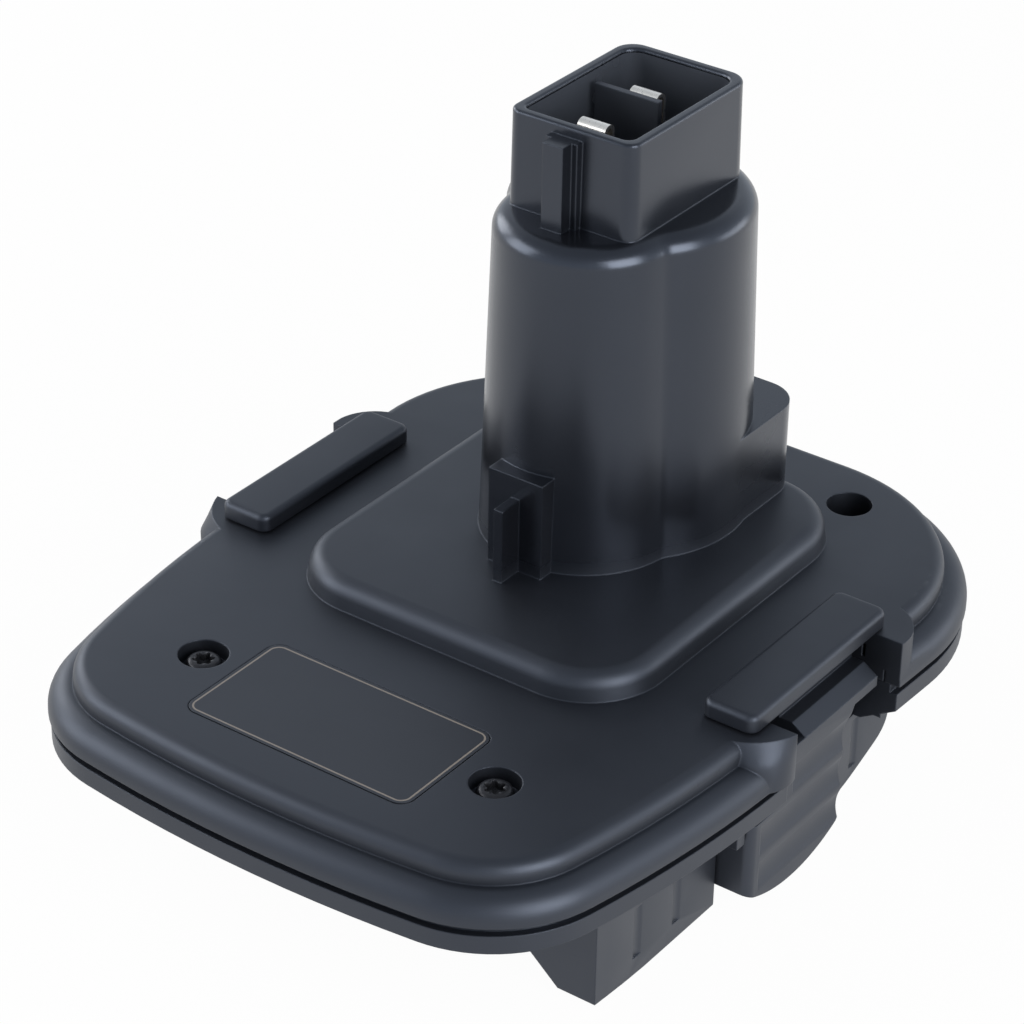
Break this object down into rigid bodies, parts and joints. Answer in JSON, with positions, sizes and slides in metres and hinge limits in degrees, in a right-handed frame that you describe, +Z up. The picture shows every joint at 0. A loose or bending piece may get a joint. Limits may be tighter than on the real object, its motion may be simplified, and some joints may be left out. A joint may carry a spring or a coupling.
{
  "type": "tool battery adapter",
  "caption": "Adapter with a round stem and terminal cup on top, a broad two-shell base with side latches, and a slide-rail skirt below for a battery pack.",
  "frame": {"origin": "centre of the bounding box's bottom face, on the skirt's lowest face", "axes": "+Z up along the stem, -Y towards the end with the label plate, X across between the latches"},
  "size_m": [0.098, 0.1212, 0.0924],
  "materials": {
    "housing_plastic": "fine textured satin, moulded",
    "latch_plastic": "fine textured satin, moulded",
    "label_film": "satin film, bare",
    "black_screw_steel": "black oxide",
    "zinc_screw_steel": "zinc plated",
    "spring_steel": "drawn wire",
    "board_laminate": "solder mask",
    "chip_resin": "moulded resin",
    "shunt_metal": "bare strip",
    "capacitor_can": "satin can",
    "block_plastic": "moulded",
    "holder_plastic": "moulded",
    "nickel_contact": "nickel plated, satin",
    "red_insulation": "smooth",
    "black_insulation": "smooth"
  },
  "bodies": {
    "adapter": {"upper_housing": "housing_plastic", "lower_housing": "housing_plastic", "label_plate": "label_film", "front_housing_screws": "black_screw_steel", "rear_housing_screws": "black_screw_steel", "right_latch_spring": "spring_steel", "left_latch_spring": "spring_steel", "circuit_board": "board_laminate", "board_screws": "zinc_screw_steel", "power_transistors": "chip_resin", "control_chip": "chip_resin", "current_shunt": "shunt_metal", "filter_capacitor": "capacitor_can", "terminal_block": "block_plastic", "terminal_block_screws": "zinc_screw_steel", "positive_blade": "nickel_contact", "negative_blade": "nickel_contact", "signal_blades": "nickel_contact", "terminal_holder": "holder_plastic", "positive_contact": "nickel_contact", "negative_contact": "nickel_contact", "positive_lead": "red_insulation", "negative_lead": "black_insulation"},
    "right_latch": {"right_latch": "latch_plastic"},
    "left_latch": {"left_latch": "latch_plastic"}
  },
  "joints": [
    {"name": "right_latch_slide", "type": "slide", "parent": "adapter", "child": "right_latch", "axis": [-1, 0, 0], "range_m": [0, 0.003], "stiffness_N_per_m": 1500, "springref_m": -0.004, "deforming": ["right_latch_spring"]},
    {"name": "left_latch_slide", "type": "slide", "parent": "adapter", "child": "left_latch", "axis": [1, 0, 0], "range_m": [0, 0.003], "stiffness_N_per_m": 1500, "springref_m": -0.004, "deforming": ["left_latch_spring"]}
  ]
}
